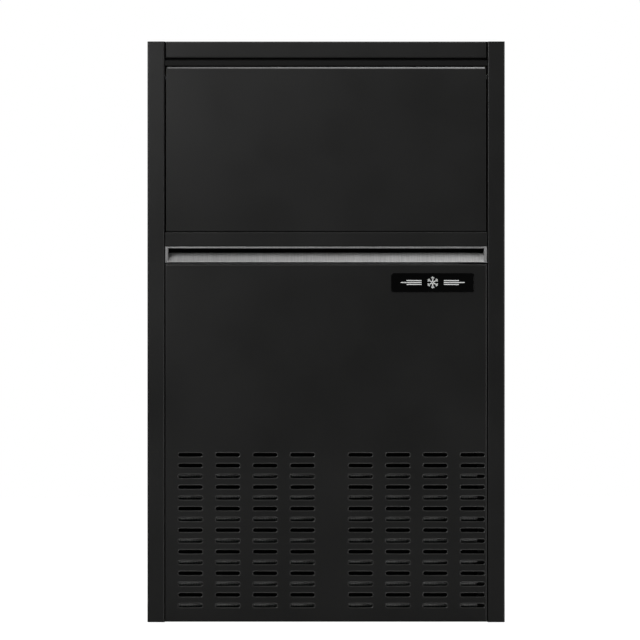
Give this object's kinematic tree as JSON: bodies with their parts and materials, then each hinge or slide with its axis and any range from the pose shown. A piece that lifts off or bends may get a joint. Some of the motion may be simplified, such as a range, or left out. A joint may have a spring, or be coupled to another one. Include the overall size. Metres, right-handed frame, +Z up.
{
  "type": "under-counter ice maker",
  "caption": "Black under-counter ice maker with a lift-up insulated bin door, a full-width recessed pull and a louvred air intake panel below.",
  "frame": {"origin": "centre of the base, on the floor", "axes": "+Z up, the front faces -Y, +X is to the right of someone facing the front"},
  "size_m": [0.448, 0.4, 0.728],
  "materials": {
    "black_steel": "satin black powder coat",
    "dark_steel": "satin dark coat",
    "plain_steel": "galvanised",
    "zinc": "zinc plated",
    "pull_steel": "long grain brushed",
    "badge": "gloss",
    "liner_white": "satin",
    "foam": "cut foam",
    "seal": "matte",
    "dark_plastic": "fine texture",
    "grey_plastic": "matte",
    "smoked_window": "polished",
    "button_green": "satin",
    "button_grey": "satin",
    "rocker_red": "gloss",
    "plated_cells": "nickel plate, satin",
    "copper": "drawn copper tube",
    "white_plastic": "satin",
    "clear_plastic": "translucent, frosted",
    "hose": "silicone",
    "float_blue": "matte",
    "fins": "rolled fin stock",
    "compressor_black": "gloss enamel",
    "rubber_black": "matte"
  },
  "bodies": {
    "cabinet": {"left_side_panel": "black_steel", "right_side_panel": "black_steel", "top_cover": "black_steel", "back_panel": "black_steel", "base_pan": "plain_steel", "lower_front_panel": "black_steel", "badge_plate": "badge", "header_rail": "dark_steel", "front_mid_rail": "dark_steel", "leg_sockets": "zinc", "panel_screws": "zinc", "bin_insulation": "foam", "top_insulation": "foam", "bin_liner": "liner_white", "bin_drain": "white_plastic", "control_fascia": "dark_plastic", "display_window": "smoked_window", "rocker_housing": "dark_plastic", "hinge_pins": "zinc", "evaporator_grid": "plated_cells", "evaporator_coil": "copper", "evaporator_frame": "white_plastic", "distribution_tube": "white_plastic", "water_trough": "white_plastic", "ice_chute": "white_plastic", "water_pump": "dark_plastic", "water_hoses": "hose", "float_stem": "white_plastic", "ice_level_probe": "zinc", "bin_deck": "plain_steel", "condenser_core": "fins", "condenser_plates": "plain_steel", "condenser_bends": "copper", "fan_shroud": "dark_steel", "fan_motor": "grey_plastic", "fan_bracket": "plain_steel", "compressor": "compressor_black", "compressor_mounts": "rubber_black", "filter_drier": "copper", "refrigerant_lines": "copper", "water_inlet_valve": "white_plastic", "drain_outlet": "white_plastic", "control_box": "plain_steel", "cord_gland": "dark_plastic"},
    "door": {"door_front_panel": "black_steel", "door_lower_rail": "black_steel", "door_pull": "pull_steel", "pull_end_caps": "pull_steel", "door_foam": "foam", "door_liner": "liner_white", "door_gasket": "seal", "door_bushes": "grey_plastic"},
    "curtain": {"water_curtain": "clear_plastic"},
    "float": {"float": "float_blue"},
    "fan": {"fan_shaft": "zinc", "fan_blade": "dark_plastic"},
    "start_button": {"start_button": "button_green"},
    "clean_button": {"clean_button": "button_grey"},
    "light_button": {"light_button": "button_grey"},
    "power_rocker": {"power_rocker": "rocker_red"}
  },
  "joints": [
    {"name": "door_hinge", "type": "hinge", "parent": "cabinet", "child": "door", "pos_m": [0, -0.1838, 0.684], "axis": [-1, 0, 0], "range_deg": [0, 90]},
    {"name": "curtain_hinge", "type": "hinge", "parent": "cabinet", "child": "curtain", "pos_m": [0, 0.046, 0.67], "axis": [-1, 0, 0], "range_deg": [0, 35]},
    {"name": "float_slide", "type": "slide", "parent": "cabinet", "child": "float", "axis": [0, 0, 1], "range_m": [0, 0.025]},
    {"name": "fan_spin", "type": "hinge", "parent": "cabinet", "child": "fan", "pos_m": [-0.085, -0.1, 0.11], "axis": [0, 1, 0], "continuous": true},
    {"name": "start_button_press", "type": "slide", "parent": "cabinet", "child": "start_button", "axis": [0, 1, 0], "range_m": [0, 0.0015], "stiffness_N_per_m": 400, "springref_m": -0.001},
    {"name": "clean_button_press", "type": "slide", "parent": "cabinet", "child": "clean_button", "axis": [0, 1, 0], "range_m": [0, 0.0015], "stiffness_N_per_m": 400, "springref_m": -0.001},
    {"name": "light_button_press", "type": "slide", "parent": "cabinet", "child": "light_button", "axis": [0, 1, 0], "range_m": [0, 0.0015], "stiffness_N_per_m": 400, "springref_m": -0.001},
    {"name": "power_rocker_tilt", "type": "hinge", "parent": "cabinet", "child": "power_rocker", "pos_m": [0.084, -0.1594, 0.673], "axis": [-1, 0, 0], "range_deg": [0, 16]}
  ]
}
